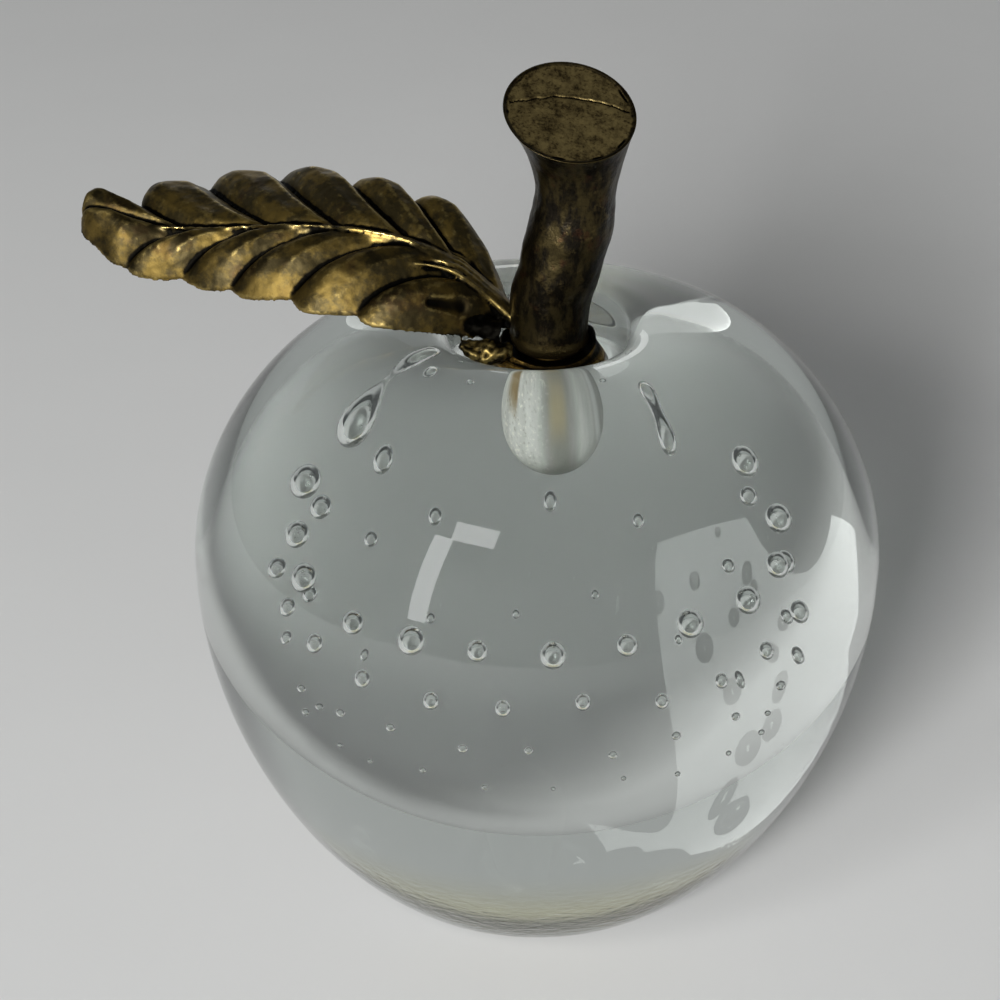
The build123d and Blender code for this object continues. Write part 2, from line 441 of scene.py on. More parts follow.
def glass_outline():
    """Radius, shift of the turning axis, and height of each point from under the base to the socket's end."""
    flare, flare_pull = math.radians(36), 13.7
    lower_pull = (BASE_RADIUS + flare_pull * math.cos(flare), flare_pull * math.sin(flare))
    round_edge = [(BASE_RADIUS - 0.5, 0.0), (BASE_RADIUS - 0.2, 0.05), (BASE_RADIUS + 0.05, 0.2)]
    lower = bezier((BASE_RADIUS, 0), lower_pull, (GLASS_RADIUS, 25.6), (GLASS_RADIUS, BELLY_HEIGHT), 64)
    upper = bezier((GLASS_RADIUS, BELLY_HEIGHT), (GLASS_RADIUS, 59.1), (29.4, SHOULDER_HEIGHT),
                   (SHOULDER_RADIUS, SHOULDER_HEIGHT), 64)
    dimple = bezier((SHOULDER_RADIUS, SHOULDER_HEIGHT), (9.6, SHOULDER_HEIGHT),
                    (SEAT_RADIUS + 2.3, SEAT_HEIGHT + 2.0), (SEAT_RADIUS, SEAT_HEIGHT), 40)
    turned = [(r, 0, 0) for r in np.linspace(0, BASE_RADIUS - 1, 12)]
    for stretch in (round_edge, lower[1:], upper, dimple):
        turned += [(r, 0, z) for r, z in stretch]
    bore = [(SOCKET_RADIUS + 0.25, SEAT_HEIGHT), (SOCKET_RADIUS + 0.08, SEAT_HEIGHT - 0.08)]
    ball = SOCKET_BOTTOM + SOCKET_RADIUS
    bore += [(SOCKET_RADIUS, z) for z in np.linspace(SEAT_HEIGHT - 0.25, ball, 16)]
    for turn in np.linspace(0, math.pi / 2, 17)[1:]:
        bore.append((SOCKET_RADIUS * math.cos(turn), ball - SOCKET_RADIUS * math.sin(turn)))
    return turned + [(r, SOCKET_OFFSET, z) for r, z in bore]


def glass_tree():
    """Nodes that turn the outline into the apple and leave the rings of bubbles open in it."""
    tree = bpy.data.node_groups.new("turned_bubble_glass", "GeometryNodeTree")
    tree.is_modifier = True
    face = tree.interface
    face.new_socket("Outline", in_out="INPUT", socket_type="NodeSocketGeometry")
    for name, kind in (
        ("Outline points", "NodeSocketInt"),
        ("Steps round", "NodeSocketInt"),
        ("Bubbles per ring", "NodeSocketInt"),
        ("Rings", "NodeSocketInt"),
        ("Top ring height", "NodeSocketFloat"),
        ("Ring drop", "NodeSocketFloat"),
        ("Top ring radius", "NodeSocketFloat"),
        ("Radius gain", "NodeSocketFloat"),
        ("Radius fall", "NodeSocketFloat"),
        ("Bubble radius", "NodeSocketFloat"),
        ("Shrink", "NodeSocketFloat"),
        ("First angle", "NodeSocketFloat"),
        ("Ring twist", "NodeSocketFloat"),
        ("Stray", "NodeSocketFloat"),
        ("Seed", "NodeSocketInt"),
        ("Glass", "NodeSocketMaterial"),
    ):
        face.new_socket(name, in_out="INPUT", socket_type=kind)
    face.new_socket("Glass apple", in_out="OUTPUT", socket_type="NodeSocketGeometry")
    group = tree.nodes.new("NodeGroupInput")

    def given(name):
        return Wire(tree, group.outputs[name])

    def add(kind, settings=None, values=None, out=0):
        return Wire.add(tree, kind, settings, values, out)

    def trig(operation, angle):
        return add("ShaderNodeMath", {"operation": operation}, {0: angle})

    # The outline's points, carried round the axis on a grid
    sheet = add("GeometryNodeMeshGrid", None, {
        "Size X": 1.0, "Size Y": 1.0,
        "Vertices X": given("Outline points"), "Vertices Y": given("Steps round") + 1,
    })
    spot = add("GeometryNodeInputPosition")
    along = add("ShaderNodeSeparateXYZ", None, {0: spot}, out="X")
    about = add("ShaderNodeSeparateXYZ", None, {0: spot}, out="Y")
    index = trig("ROUND", (along + 0.5) * (given("Outline points") - 1))
    outline = add("GeometryNodeSampleIndex", {"data_type": "FLOAT_VECTOR", "domain": "POINT"},
                  {"Geometry": given("Outline"), "Value": spot, "Index": index})
    radius = add("ShaderNodeSeparateXYZ", None, {0: outline}, out="X")
    shift = add("ShaderNodeSeparateXYZ", None, {0: outline}, out="Y")
    height = add("ShaderNodeSeparateXYZ", None, {0: outline}, out="Z")
    turn = (about + 0.5) * (2 * math.pi)
    turned = add("ShaderNodeCombineXYZ", None, {
        "X": shift + radius * trig("COSINE", turn), "Y": radius * trig("SINE", turn), "Z": height,
    })
    body = add("GeometryNodeSetPosition", None, {"Geometry": sheet, "Position": turned})
    body = add("GeometryNodeMergeByDistance", None, {"Geometry": body, "Distance": 0.000002})
    body = add("GeometryNodeFlipFaces", None, {"Mesh": body})

    # Rings of bubbles, each ring lower, a little turned and of smaller bubbles
    number = add("GeometryNodeInputIndex")
    per_ring = given("Bubbles per ring")
    ring = trig("FLOOR", (number + 0.5) / per_ring)
    place = number - ring * per_ring
    stray = add("FunctionNodeRandomValue", {"data_type": "FLOAT_VECTOR"},
                {0: (-1, -1, -1), 1: (1, 1, 1), "ID": number, "Seed": given("Seed")})
    stray_out = add("ShaderNodeSeparateXYZ", None, {0: stray}, out="X") * given("Stray")
    stray_up = add("ShaderNodeSeparateXYZ", None, {0: stray}, out="Y") * given("Stray")
    stray_turn = add("ShaderNodeSeparateXYZ", None, {0: stray}, out="Z") * given("Stray")
    stray_turn = stray_turn / given("Top ring radius")
    reach = given("Top ring radius") + ring * given("Radius gain") - ring * ring * given("Radius fall")
    reach = reach + stray_out
    bearing = given("First angle") + ring * given("Ring twist") + place * (2 * math.pi) / per_ring
    bearing = bearing + stray_turn
    centre = add("ShaderNodeCombineXYZ", None, {
        "X": reach * trig("COSINE", bearing), "Y": reach * trig("SINE", bearing),
        "Z": given("Top ring height") - ring * given("Ring drop") + stray_up,
    })
    size = add("FunctionNodeRandomValue", {"data_type": "FLOAT"},
               {2: 0.82, 3: 1.12, "ID": number, "Seed": given("Seed") + 1}, out=1)
    size = size * given("Bubble radius") * given("Shrink") ** ring
    points = add("GeometryNodePoints", None, {
        "Count": per_ring * given("Rings"), "Position": centre, "Radius": size,
    })
    ball = add("GeometryNodeMeshUVSphere", None, {"Segments": 20, "Rings": 12, "Radius": 1.0})
    bubbles = add("GeometryNodeInstanceOnPoints", None, {"Points": points, "Instance": ball, "Scale": size})
    bubbles = add("GeometryNodeRealizeInstances", None, {"Geometry": bubbles})
    bubbles = add("GeometryNodeFlipFaces", None, {"Mesh": bubbles})

    whole = add("GeometryNodeJoinGeometry", None, {0: [body, bubbles]})
    whole = add("GeometryNodeSetShadeSmooth", None, {"Geometry": whole, "Shade Smooth": True})
    whole = add("GeometryNodeSetMaterial", None, {"Geometry": whole, "Material": given("Glass")})
    add("NodeGroupOutput", None, {0: whole})
    return tree


def glass_apple():
    """The glass, with its socket and bubbles."""
    outline = glass_outline()
    piece = mesh_piece("glass_apple", outline)
    turned = piece.modifiers.new("turned", "NODES")
    turned.node_group = glass_tree()
    sizes = {
        "Outline points": len(outline),
        "Steps round": 224,
        "Bubbles per ring": 18,
        "Rings": 4,
        "Top ring height": 42.0 * MM,
        "Ring drop": 4.8 * MM,
        "Top ring radius": 20.8 * MM,
        "Radius gain": 1.1 * MM,
        "Radius fall": 0.75 * MM,
        "Bubble radius": 1.2 * MM,
        "Shrink": 0.62,
        "First angle": math.radians(-85),
        "Ring twist": math.radians(7),
        "Stray": 0.7 * MM,
        "Seed": 11,
        "Glass": bubble_glass(),
    }
    for socket in turned.node_group.interface.items_tree:
        if socket.in_out == "INPUT" and socket.name in sizes:
            turned[socket.identifier] = sizes[socket.name]
    applied(piece)
    settle(piece, "glass_body")


# Stem: a cast twig, lofted through its stations to the tilted sawn end

# Rise above the foot, lean to the right, and radius
STEM_STATIONS = (
    (0.0, 0.0, 4.75),
    (6.4, 0.0, 4.75),
    (11.4, 1.15, 5.0),
    (17.2, 2.5, 4.9),
    (22.4, 2.95, 5.15),
)
STEM_END = np.array((SOCKET_OFFSET + 2.1, 0.0, WELL_FLOOR + 29.8))
STEM_END_TILT = math.radians(28)
STEM_END_ROLL = math.radians(8)
STEM_END_X = np.array((
    math.cos(STEM_END_ROLL),
    math.sin(STEM_END_ROLL) * math.sin(STEM_END_TILT),
    -math.sin(STEM_END_ROLL) * math.cos(STEM_END_TILT),
))
STEM_END_Y = np.array((0.0, math.cos(STEM_END_TILT), math.sin(STEM_END_TILT)))
STEM_END_UP = np.cross(STEM_END_X, STEM_END_Y)
STEM_FOOT_RADIUS = 2.75
STEM_FOOT_ROUND = 2.0
STEM_AROUND = 160
STEM_RINGS = 110
FACE_RINGS = 46
# Rolled bark rim of the sawn end: radius, and height over the end's plane
STEM_RIM = ((7.74, -0.03), (7.64, -0.02), (7.54, -0.05), (7.46, -0.1), (7.38, -0.13), (7.2, -0.15))
ACROSS = np.array((1.0, 0.0, 0.0))
DEEP = np.array((0.0, 1.0, 0.0))


def bark(point, share):
    """How far the bark stands out, in millimetres: long ridges, knuckles and small lumps."""
    long_way = Vector((point.x / 3.2, point.y / 3.2, point.z / 12.0))
    ridge = noise.noise(long_way + Vector((4.1, 0.0, 0.0)))
    lump = noise.noise(point / 4.0 + Vector((0.0, 9.0, 0.0)))
    small = noise.noise(point / 1.3)
    fade = min(1.0, share * 6, (1 - share) * 5)
    return fade * (0.34 * ridge + 0.26 * lump + 0.07 * small)


def twig_stem():
    """The stem, with its rounded foot, bark, rim and sawn end."""
    turns = np.arange(STEM_AROUND) * 2 * math.pi / STEM_AROUND
    sections = []
    for rise, lean, radius in STEM_STATIONS:
        centre = np.array((SOCKET_OFFSET + lean, 0.0, WELL_FLOOR + rise))
        sections.append(circle(centre, radius, ACROSS, DEEP, turns))
    sections.append(circle(STEM_END, STEM_END_RADIUS - 0.06, STEM_END_X, STEM_END_Y, turns))
    sections = np.array(sections)
    centres = sections.mean(axis=1)
    runs = np.concatenate([[0], np.cumsum(np.linalg.norm(np.diff(centres, axis=0), axis=1))])
    at = np.linspace(STEM_FOOT_ROUND, runs[-1], STEM_RINGS)
    wall = spline_at(runs, sections, at)
    rings = []
    for turn in np.linspace(0, math.pi / 2, 7)[:-1]:
        radius = STEM_FOOT_RADIUS + STEM_FOOT_ROUND * math.sin(turn)
        level = WELL_FLOOR + STEM_FOOT_ROUND - STEM_FOOT_ROUND * math.cos(turn)
        rings.append(circle(np.array((SOCKET_OFFSET, 0.0, level)), radius, ACROSS, DEEP, turns))
    for share, ring in zip(at / runs[-1], wall):
        middle = ring.mean(axis=0)
        out = ring - middle
        out /= np.linalg.norm(out, axis=1)[:, None]
        push = np.array([bark(Vector(p), share) for p in ring])
        rings.append(ring + out * push[:, None])
    # The nicked rim, then the sawn face inside it with a raised crack across
    nicks = [noise.noise(Vector((3 * math.cos(t), 3 * math.sin(t), 8))) for t in turns]
    nicks = 0.25 * np.maximum(nicks, 0.0)[:, None]
    for radius, height in STEM_RIM:
        rim = circle(STEM_END, radius - nicks, STEM_END_X, STEM_END_Y, turns)
        rings.append(rim + (height - nicks) * STEM_END_UP)
    for radius in np.linspace(6.95, 0.2, FACE_RINGS):
        across, deep = radius * np.cos(turns), radius * np.sin(turns)
        height = np.array([sawn_face(x, y) for x, y in zip(across, deep)])
        rings.append(STEM_END + across[:, None] * STEM_END_X + deep[:, None] * STEM_END_Y
                     + height[:, None] * STEM_END_UP)
    piece = mesh_piece("twig_stem", np.concatenate(rings), ring_faces(len(rings), STEM_AROUND))
    shade_smooth(piece)
    add_relief(piece, "broad_relief", 60, 0.5)
    add_relief(piece, "fine_relief", 8, 0.06)
    add_mask(piece, "sawn_face", on_sawn_face)
    finish = antique_brass("stem_brass", colour(7, 6, 4), colour(23, 19, 12), colour(54, 46, 25),
                           colour(82, 70, 41), 1.7, 0.5, 0.4, colour(166, 146, 95))
    settle(piece, "stem", finish)


def sawn_face(x, y):
    """Height of the sawn face in millimetres: nearly flat, with a crack whose far lip stands up."""
    broken = 0.3 / (1 + math.exp(6 * (x + 2.8)))
    crack = y + broken - (2.5 - 0.028 * x * x) - 0.18 * noise.noise(Vector((x * 0.9, 3.0, 0.0)))
    lip = 0.07 * math.exp(-((crack - 0.16) / 0.16) ** 2) - 0.16 * math.exp(-((crack + 0.14) / 0.14) ** 2)
    rough = 0.06 * noise.noise(Vector((x / 2.2, y / 2.2, 7.0)))
    rough += 0.02 * noise.noise(Vector((x / 0.6, y / 0.6, 2.0)))
    return -0.17 + lip + rough


def on_sawn_face(point):
    """1 on the sawn face and 0 on the bark, with a soft step at the rim."""
    from_middle = np.array(point) - STEM_END
    below = -float(from_middle @ STEM_END_UP)
    out = float(np.hypot(from_middle @ STEM_END_X, from_middle @ STEM_END_Y))
    return float(np.clip((7.5 - out) / 0.3, 0, 1)) if below < 0.9 else 0.0


# Leaf: puffed lobes on both sides of a midrib, melted into one casting

LEAF_ORIGIN = np.array((SOCKET_OFFSET, 0.0, WELL_FLOOR))
LEAF_BACK = math.radians(LEAF_BACK_ANGLE)
LEAF_HEADING = np.array((-math.cos(LEAF_BACK), math.sin(LEAF_BACK), 0.0))
UP = np.array((0.0, 0.0, 1.0))
FAR_SIDE = np.cross(LEAF_HEADING, UP)
# Reach from the stem's axis and rise above the stem's foot, along the middle of the midrib
MIDRIB = ((3.65, 2.1), (8.0, 5.7), (13.5, 9.4), (22.0, 11.6), (35.0, 11.2), (48.0, 10.2), (58.6, 12.4))
# Each lobe: where its two grooves leave the midrib, and its outer edge as reach and distance from the midrib
NEAR_LOBES = (
    (4.2, 7.6, ((6.4, 2.6), (10.5, 7.6), (13.3, 9.9), (16.5, 11.7), (19.1, 12.4), (20.8, 11.9),
                (21.4, 11.0))),
    (7.6, 16.4, ((21.4, 11.0), (24.0, 11.6), (26.6, 11.8), (28.4, 11.2), (29.4, 10.0), (29.8, 9.4))),
    (16.4, 25.8, ((29.8, 9.4), (32.4, 9.6), (34.8, 9.4), (36.6, 8.7), (37.6, 7.5))),
    (25.8, 34.0, ((37.6, 7.5), (39.6, 7.6), (41.6, 7.1), (43.4, 6.0), (44.2, 5.4))),
    (34.0, 42.4, ((44.2, 5.4), (46.6, 5.8), (48.8, 5.9), (50.6, 5.6), (51.4, 4.8))),
    (42.4, 57.0, ((51.4, 4.8), (52.8, 4.9), (54.2, 4.2), (56.2, 2.7), (57.8, 1.6), (58.4, 0.4))),
)
FAR_LOBES = (
    (4.2, 8.2, ((5.6, 3.0), (8.6, 6.4), (11.2, 8.9), (13.1, 10.5), (15.5, 11.9), (17.4, 12.1),
                 (18.8, 11.3), (19.4, 10.1))),
    (8.2, 14.4, ((19.4, 10.1), (21.4, 11.4), (23.6, 12.6), (25.8, 12.9), (27.2, 12.4), (27.8, 11.4))),
    (14.4, 23.2, ((27.8, 11.4), (30.0, 13.1), (32.6, 14.5), (34.8, 14.8), (36.4, 14.2), (37.1, 12.8))),
    (23.2, 31.6, ((37.1, 12.8), (39.4, 13.9), (41.6, 14.5), (43.6, 14.4), (45.0, 13.4), (45.5, 11.2))),
    (31.6, 41.8, ((45.5, 11.2), (47.6, 11.2), (50.0, 10.8), (51.8, 9.8), (52.6, 8.0), (52.4, 4.8))),
    (41.8, 57.0, ((52.4, 4.8), (54.2, 3.2), (56.0, 3.2), (57.6, 3.2), (58.4, 2.2), (58.4, 0.4))),
)
# How far the lobes hang or lift sideways, how high they puff, how far their ends roll down
NEAR_DROOP, FAR_LIFT = math.radians(24), math.radians(10.5)
NEAR_PUFF, FAR_PUFF = 2.3, 2.5
NEAR_ROLL, FAR_ROLL = 1.7, 0.2
NEAR_DRAWN_IN = 0.87
HALF_SHEET = 0.3
LEAF_VOXEL = 0.2
# Reach of the midrib, of the thin ridge on it and of the stalk's strands
RIB_START, RIB_END = 3.65, 53.0
RIDGE_START, RIDGE_END = 12, 52.5
STRAND_START, STRAND_END = 3.9, 18
STRAND_FAN_LENGTH = 14
# Each strand: its distance from the midrib, and how much further it fans out
STRANDS = ((-1.35, -2.4), (-0.75, -1.1), (-0.1, 0.0), (0.55, 1.1), (1.2, 2.6))
# Rough heel from the stem out along the seat, the web above it that carries painted shade, and the pocket
# beside the stalk
HEEL = ((-3.2, -2.9, 71.5), (-6.0, -3.5, 71.3), (-9.4, -3.8, 72.6))
SHADE_WEB = ((-8.6, -2.0, 74.3), (-4.4, -1.7, 73.3))
POCKET = ((-12.7, -3.5, 77.8), (-9.2, -2.4, 76.8))
# Height over a lobe from its stem side to its tip side, and from the midrib out to its edge
ACROSS_LOBE = ((0, 0), (0.05, 0.24), (0.15, 0.6), (0.32, 0.9), (0.5, 1.0), (0.68, 0.98), (0.84, 0.82),
               (0.94, 0.5), (1, 0.12))
ALONG_NEAR_LOBE = ((0, 0.1), (0.05, 0.35), (0.14, 0.75), (0.32, 0.96), (0.55, 1.0), (0.72, 0.9), (0.86, 0.6),
                   (0.95, 0.26), (1, 0))
ALONG_FAR_LOBE = ((0, 0.1), (0.04, 0.32), (0.09, 0.66), (0.18, 0.82), (0.4, 0.92), (0.65, 1.0), (0.82, 0.9),
                  (0.93, 0.56), (1, 0))


def tube(path, sizes, around=16, flat=1.0):
    """Rings of a closed tube along a path, wider than high where flat is below 1."""
    path = np.asarray(path, float)
    ahead = np.gradient(path, axis=0)
    ahead /= np.linalg.norm(ahead, axis=1)[:, None]
    side = np.cross(ahead, UP)
    side /= np.linalg.norm(side, axis=1)[:, None]
    over = np.cross(side, ahead)
    turns = np.arange(around) * 2 * math.pi / around
    rings = []
    for point, size, right, top in zip(path, sizes, side, over):
        rings.append(point + size * (np.cos(turns)[:, None] * right + flat * np.sin(turns)[:, None] * top))
    return np.concatenate(rings), ring_faces(len(path), around)


def midrib_at(reach):
    """Points on the middle of the midrib."""
    rib = np.asarray(MIDRIB)
    rise = spline_at(rib[:, 0], rib[:, 1], reach)
    return LEAF_ORIGIN + np.atleast_1d(reach)[:, None] * LEAF_HEADING + rise[:, None] * UP


RIB_POINTS = midrib_at(np.linspace(4, 52, 49))


def lobe(first_root, last_root, edge, sideways, puff, along, roll):
    """A puffed lobe between two grooves that leave the midrib nearly along it, its end rolled down."""
    steps, outs = 44, 30
    shares = np.linspace(0, 1, steps)
    edge_line = smooth_line(edge, steps)
    roots = first_root + (last_root - first_root) * shares
    rise = np.interp(shares, *zip(*ACROSS_LOBE))
    rise += 0.035 * np.cos(6 * math.pi * shares) * np.sin(math.pi * shares)
    over = np.linspace(0, 1, outs) ** 0.95
    swell = np.interp(over, *zip(*along))
    rings = []
    for root, (reach, aside), height in zip(roots, edge_line, rise):
        reaches = root + (reach - root) * over**0.72
        sheet = midrib_at(reaches) + (aside * over)[:, None] * sideways - (roll * over**5)[:, None] * UP
        upper = sheet + (HALF_SHEET + puff * height * swell)[:, None] * UP
        lower = sheet - (HALF_SHEET + 0.6 * np.sqrt(1 - over**4))[:, None] * UP
        rings.append(np.concatenate([upper, lower[::-1]]))
    return np.concatenate(rings), ring_faces(steps, 2 * outs)


def heel_share(point):
    """1 on the rough heel under the stalk and 0 away from it."""
    along = np.linspace(0, 1, 12)[:, None]
    first, middle, last = (np.array(spot) for spot in HEEL)
    line = np.concatenate([first + (middle - first) * along, middle + (last - middle) * along])
    near = np.clip((2.2 - np.linalg.norm(line - np.array(point), axis=1).min()) / 0.3, 0, 1)
    return float(near * np.clip((73.3 - point.z) / 0.4, 0, 1))


def line_share(point, line, first_width, last_width):
    """1 on a straight line, falling off at a width that changes along it."""
    first, last = (Vector(end) for end in line)
    along = min(max(intersect_point_line(point, first, last)[1], 0), 1)
    width = first_width + (last_width - first_width) * along
    return math.exp(-((point - first.lerp(last, along)).length / width) ** 4)


def pocket_share(point):
    """1 in the pocket that the casting left beside the stalk, which narrows away from it."""
    return line_share(point, POCKET, 0.6, 1.05)


def shade_web_share(point):
    """1 on the web between the stalk and the heel, a piece that carries painted shade."""
    return min(1.5 * line_share(point, SHADE_WEB, 1.2, 2.1), 1)


def leaf_grain(point):
    """How far the cast skin stands out, in millimetres: lumps, grain, a rough heel and a sunk pocket."""
    lumps = 0.09 * noise.noise(point / 2.6) + 0.03 * noise.noise(point / 0.8)
    rough = 0.55 * noise.noise(point / 1.7) + 0.22 * noise.noise(point / 0.6)
    rough *= max(heel_share(point), 0.6 * shade_web_share(point))
    return lumps + rough - 0.35 * pocket_share(point) - 0.1


def leaf_dark_patches_and_painted_shade(point):
    """Black painted shade in the pocket and on the web, dark patches over the heel, a darker tip, and painted
    shade dulling the near lobes.
    """
    patch = np.clip(0.8 + noise.noise(point / 1.1), 0.6, 1) * heel_share(point)
    tip = np.clip((-44.5 - point.x) / 4.5, 0, 1) * (0.58 + 0.3 * noise.noise(point / 2.0))
    from_rib = np.array(point) - RIB_POINTS
    aside = from_rib[np.linalg.norm(from_rib, axis=1).argmin()] @ FAR_SIDE
    # Painted shade that dulls the near lobes.
    near_lobe_painted_shade = 0.5 * np.clip((-0.9 - aside) / 1.5, 0, 1)
    return float(max(0.97 * pocket_share(point), shade_web_share(point), 0.93 * patch, tip, near_lobe_painted_shade))


def leaf_parts():
    """Points and faces of the lobes, midrib, ridge, stalk strands, heel and the web that carries painted
    shade, which still overlap.
    """
    near_side = -FAR_SIDE * math.cos(NEAR_DROOP) - UP * math.sin(NEAR_DROOP)
    far_side = FAR_SIDE * math.cos(FAR_LIFT) + UP * math.sin(FAR_LIFT)
    parts = []
    for first_root, last_root, edge in NEAR_LOBES:
        drawn_in = [(reach, aside * NEAR_DRAWN_IN) for reach, aside in edge]
        parts.append(lobe(first_root, last_root, drawn_in, near_side, NEAR_PUFF, ALONG_NEAR_LOBE, NEAR_ROLL))
    for first_root, last_root, edge in FAR_LOBES:
        parts.append(lobe(first_root, last_root, edge, far_side, FAR_PUFF, ALONG_FAR_LOBE, FAR_ROLL))
    rib_reach = np.linspace(RIB_START, RIB_END, 90)
    rib = midrib_at(rib_reach) + UP * 0.75
    rib_size = np.interp(rib_reach, (RIB_START, 10, 18, RIB_END), (1.6, 1.65, 1.3, 0.8))
    parts.append(tube(rib, rib_size, 20, 0.8))
    ridge_reach = np.linspace(RIDGE_START, RIDGE_END, 120)
    ridge_size = np.array([0.26 + 0.16 * noise.noise(Vector((reach * 1.1, 4, 2))) for reach in ridge_reach])
    ridge_rise = np.interp(ridge_reach, (RIDGE_START, 17, 46, RIDGE_END), (1.1, 1.85, 1.6, 0.9))
    parts.append(tube(midrib_at(ridge_reach) + ridge_rise[:, None] * UP - FAR_SIDE * 0.65, ridge_size, 10))
    strand_reach = np.linspace(STRAND_START, STRAND_END, 40)
    strand_size = np.interp(strand_reach, (4, 11, STRAND_END), (0.48, 0.42, 0.15))
    strand_rise = np.interp(strand_reach, (STRAND_START, 11, STRAND_END), (1.75, 2.1, 0.2))
    for offset, fan in STRANDS:
        spread = offset + fan * ((strand_reach - STRAND_START) / STRAND_FAN_LENGTH) ** 2
        rise = strand_rise - 0.22 * offset * offset
        strand = midrib_at(strand_reach) + spread[:, None] * FAR_SIDE + rise[:, None] * UP
        parts.append(tube(strand, strand_size, 10))
    heel_size = np.interp(np.linspace(0, 1, 24), (0, 0.35, 0.7, 1), (1.4, 1.9, 1.4, 0.6))
    parts.append(tube(smooth_line(HEEL, 24), heel_size, 14, 0.85))
    # The web: a piece under the stalk that carries painted shade.
    parts.append(tube(np.linspace(*SHADE_WEB, 10), np.linspace(0.7, 1.6, 10), 14))
    return parts


def cast_leaf():
    """The leaf: its parts melted into one skin, with the cast grain on it."""
    vertices, faces = [], []
    for rings, part_faces in leaf_parts():
        start = sum(len(v) for v in vertices)
        vertices.append(rings)
        faces += [tuple(start + i for i in face) for face in part_faces]
    piece = mesh_piece("cast_leaf", np.concatenate(vertices), faces)
    melted = piece.modifiers.new("melted", "REMESH")
    melted.mode = "VOXEL"
    melted.voxel_size = LEAF_VOXEL * MM
    applied(piece)
    mesh = piece.data
    mesh.vertices.foreach_set("co", smoothed(mesh, points_of(mesh), 2).ravel())
    mesh.update()
    displaced(piece, leaf_grain)
    shade_smooth(piece)
    add_relief(piece, "broad_relief", 90, 0.6)
    add_relief(piece, "fine_relief", 14, 0.1)
    # The leaf's dark patches and painted shade.
    add_mask(piece, "soot", leaf_dark_patches_and_painted_shade)
    finish = antique_brass("leaf_brass", colour(10, 9, 7), colour(76, 66, 40), colour(120, 100, 50),
                           colour(174, 152, 92), 3.8, 0.18)
    settle(piece, "leaf", finish)


# Cement: a plug that wets the socket's wall, and a thin uneven bed under the collar

# How far the cement reaches into the glass, so that light passes from one to the other
WETTING = 0.02
# Bed under the collar: radius, and height over the seat
CEMENT_BED = ((SOCKET_RADIUS + WETTING, 0.02), (6.95, 0.02), (7.0, 0.08), (6.85, 0.18), (2.6, 0.19))
BED_EDGE = 6.5


def cement_plug():
    """The cement, with an uneven edge round its bed."""
    around = 96
    turns = np.arange(around) * 2 * math.pi / around
    wall = SOCKET_RADIUS + WETTING
    ball = SOCKET_BOTTOM + SOCKET_RADIUS
    ball_turns = np.linspace(0.06, math.pi / 2, 20)
    outline = [(wall * math.sin(turn), ball - wall * math.cos(turn)) for turn in ball_turns]
    outline += [(wall, z) for z in np.linspace(ball, SEAT_HEIGHT, 24)[1:-1]]
    outline += [(radius, SEAT_HEIGHT + rise) for radius, rise in CEMENT_BED]
    uneven = 0.12 * np.array([noise.noise(Vector((math.cos(t) * 2, math.sin(t) * 2, 5))) for t in turns])
    rings = []
    for radius, height in outline:
        wide = radius + (uneven if radius > BED_EDGE else 0)
        ring = (SOCKET_OFFSET + wide * np.cos(turns), wide * np.sin(turns), turns * 0 + height)
        rings.append(np.stack(ring, axis=1))
    piece = mesh_piece("cement_plug", np.concatenate(rings), ring_faces(len(rings), around))
    shade_smooth(piece)
    settle(piece, "socket_cement", set_cement())


# Collar: a conical skirt with a well, low at the front, lumpy from the casting

# Radius, height in millimetres, or on the rim as a share of the height there, and whether it is on the rim
COLLAR_OUTLINE = (
    (2.6, 0.0, False), (6.3, 0.0, False), (6.72, 0.03, False), (6.78, 0.14, False), (6.66, 0.5, False),
    (6.5, 1.0, False), (6.12, 0.62, True), (6.1, 0.86, True), (6.02, 0.97, True), (5.9, 1.0, True),
    (5.76, 0.97, True), (5.66, 0.88, True), (5.6, 0.6, True), (5.58, 1.5, False), (5.45, 1.24, False),
    (5.2, 1.2, False), (2.6, 1.2, False),
)
# The ear: its bearing and width in radians, how far it stands up and how far it leans in
EAR_BEARING, EAR_WIDTH, EAR_RISE, EAR_LEAN = 0.1, 0.5, 0.9, 0.6


def foot_collar():
    """The collar, with the ear that stands up at its right."""
    around = 144
    turns = np.arange(around) * 2 * math.pi / around
    rings = []
    for radius, height, on_rim in COLLAR_OUTLINE:
        ring = []
        for turn in turns:
            ear = math.exp(-((math.remainder(turn, 2 * math.pi) - EAR_BEARING) / EAR_WIDTH) ** 2)
            top = COLLAR_HEIGHT + min(0.0, COLLAR_FRONT_DROP * math.sin(turn)) + EAR_RISE * ear
            level = top * height if on_rim else min(height, top - 0.05)
            spot = Vector((radius * math.cos(turn), radius * math.sin(turn), level))
            lump = 0.0 if radius < 5.8 or level < 0.02 else 0.12 * noise.noise(spot / 1.1) - 0.08
            wide = radius + lump - (EAR_LEAN * ear if on_rim else 0)
            ring.append((SOCKET_OFFSET + wide * math.cos(turn), wide * math.sin(turn), COLLAR_BASE + level))
        rings.append(ring)
    points = np.concatenate([np.array(ring) for ring in rings])
    faces = ring_faces(len(rings), around, closed_ends=False)
    last = (len(rings) - 1) * around
    for step in range(around):
        after = (step + 1) % around
        faces.append((last + step, last + after, after, step))
    piece = mesh_piece("cast_collar", points, faces)
    form = bmesh.new()
    form.from_mesh(piece.data)
    bmesh.ops.recalc_face_normals(form, faces=form.faces)
    form.to_mesh(piece.data)
    form.free()
    softened = piece.modifiers.new("softened", "SUBSURF")
    softened.levels = softened.render_levels = 1
    applied(piece)
    shade_smooth(piece)
    add_relief(piece, "broad_relief", 20, 0.3)
    add_relief(piece, "fine_relief", 4, 0.04)
    # The collar's painted shade and highlights.
    add_mask(piece, "soot", collar_painted_shade)
    finish = antique_brass("collar_brass", colour(9, 7, 4), colour(84, 66, 32), colour(140, 110, 52),
                           colour(206, 168, 86), 1.4, 0.55)
    settle(piece, "foot_collar", finish)


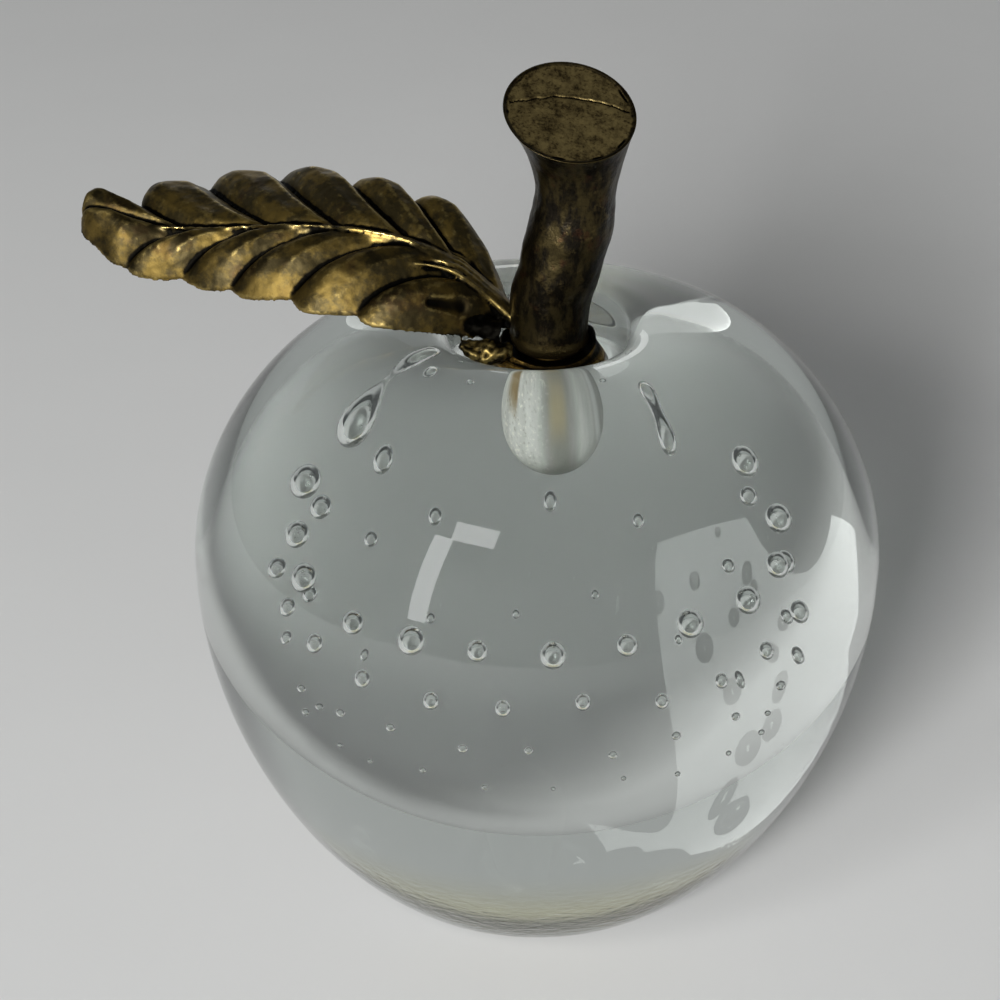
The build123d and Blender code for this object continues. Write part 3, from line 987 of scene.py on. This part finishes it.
def collar_painted_shade(point):
    """Painted shade: black in the well and most of the way round the rim, with painted highlights at the
    front left and right.
    """
    x, y = point.x - SOCKET_OFFSET, point.y
    well = np.clip((5.8 - math.hypot(x, y)) / 0.12, 0, 1)
    bearing = math.atan2(y, x)
    painted_highlight = math.exp(-((bearing + 2.45) / 0.35) ** 2) + 0.75 * math.exp(-((bearing + 0.1) / 0.5) ** 2)
    return float(max(well, 0.95 - painted_highlight))


# Studio: the floor in millimetres, the lamps and the camera in metres

FLOOR_HALF = 600
FLOOR_LEVEL = -0.15
GLASS_MIDDLE = (0, 0, 0.04)
DIMPLE = (0, 0, 0.07)
LENS = 109.4
CAMERA_PLACE = (0.0, -0.3322, 0.2182)
CAMERA_DIRECTION = (-0.0122, 0.8926, -0.4517)


def pale_floor():
    """A plain square floor, just under the base."""
    corners = ((-1, -1), (1, -1), (1, 1), (-1, 1))
    floor = mesh_piece("floor", [(FLOOR_HALF * x, FLOOR_HALF * y, FLOOR_LEVEL) for x, y in corners],
                       [(0, 1, 2, 3)])
    floor.data.materials.append(studio_floor())


def softbox(name, place, aim, size, power, roll=0.0):
    """A rectangular lamp that faces a point, turned about its own axis by roll degrees."""
    lamp = bpy.data.lights.new(name, "AREA")
    lamp.shape = "RECTANGLE"
    lamp.size, lamp.size_y = size
    lamp.energy = power
    holder = bpy.data.objects.new(name, lamp)
    holder.location = place
    facing = (Vector(aim) - Vector(place)).to_track_quat("-Z", "Y")
    holder.rotation_euler = (facing @ Quaternion((0, 0, 1), math.radians(roll))).to_euler()
    bpy.context.scene.collection.objects.link(holder)
    return holder


def lights():
    """A key, a window that shows mirrored on the glass, a panel seen through it, and a sheen on its lip."""
    for pane in (
        softbox("window_softbox", (-0.57, -0.73, 0.475), GLASS_MIDDLE, (0.11, 0.6), 1.1),
        softbox("window_top_softbox", (-0.32, -0.65, 0.77), GLASS_MIDDLE, (0.24, 0.13), 0.5),
    ):
        pane.visible_transmission = False
    panel = softbox("panel_softbox", (-0.42, -0.72, 0.6), GLASS_MIDDLE, (0.2, 0.46), 1.0, 30)
    panel.visible_glossy = False
    sheen = softbox("sheen_softbox", (-0.12, 0.98, 0.3), DIMPLE, (0.25, 0.12), 0.12)
    sheen.visible_diffuse = sheen.visible_transmission = False
    key = softbox("key_softbox", (-0.542, -1.774, 0.749), GLASS_MIDDLE, (0.5, 0.5), 55.0)
    key.data.cycles.use_multiple_importance_sampling = False


def studio_world():
    """Grey all round, darker at the sides and overhead."""
    world = bpy.data.worlds.new("studio")
    world.use_nodes = True
    tree = world.node_tree
    tree.nodes.clear()
    ray = Wire.add(tree, "ShaderNodeTexCoord", out="Generated")
    across = Wire.add(tree, "ShaderNodeSeparateXYZ", None, {0: ray}, out="X")
    height = Wire.add(tree, "ShaderNodeSeparateXYZ", None, {0: ray}, out="Z")
    tone = (across * across).ramp(0.35, 0.75).blend(colour(158, 160, 159), colour(72, 74, 75))
    tone = height.ramp(0.4, 0.6).blend(tone, colour(64, 66, 66))
    sky = Wire.add(tree, "ShaderNodeBackground", None, {"Color": tone, "Strength": 1.0})
    Wire.add(tree, "ShaderNodeOutputWorld", None, {"Surface": sky})
    bpy.context.scene.world = world


def photo_camera():
    """The camera at the photograph's angle."""
    lens = bpy.data.cameras.new("photo_camera")
    lens.lens = LENS
    lens.sensor_width = 36.0
    lens.clip_start = 0.01
    lens.clip_end = 20.0
    camera = bpy.data.objects.new("photo_camera", lens)
    camera.location = CAMERA_PLACE
    camera.rotation_euler = Vector(CAMERA_DIRECTION).to_track_quat("-Z", "Y").to_euler()
    bpy.context.scene.collection.objects.link(camera)
    bpy.context.scene.camera = camera


def refinish(node, material):
    """Gives a solid that stays in view its better finish."""
    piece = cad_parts[node]
    piece.data.materials.clear()
    piece.data.materials.append(material)


glass_apple()
twig_stem()
cast_leaf()
cement_plug()
foot_collar()
refinish("stem_peg", peg_brass())
pale_floor()
lights()
studio_world()
photo_camera()
bpy.context.scene.view_settings.view_transform = "Standard"
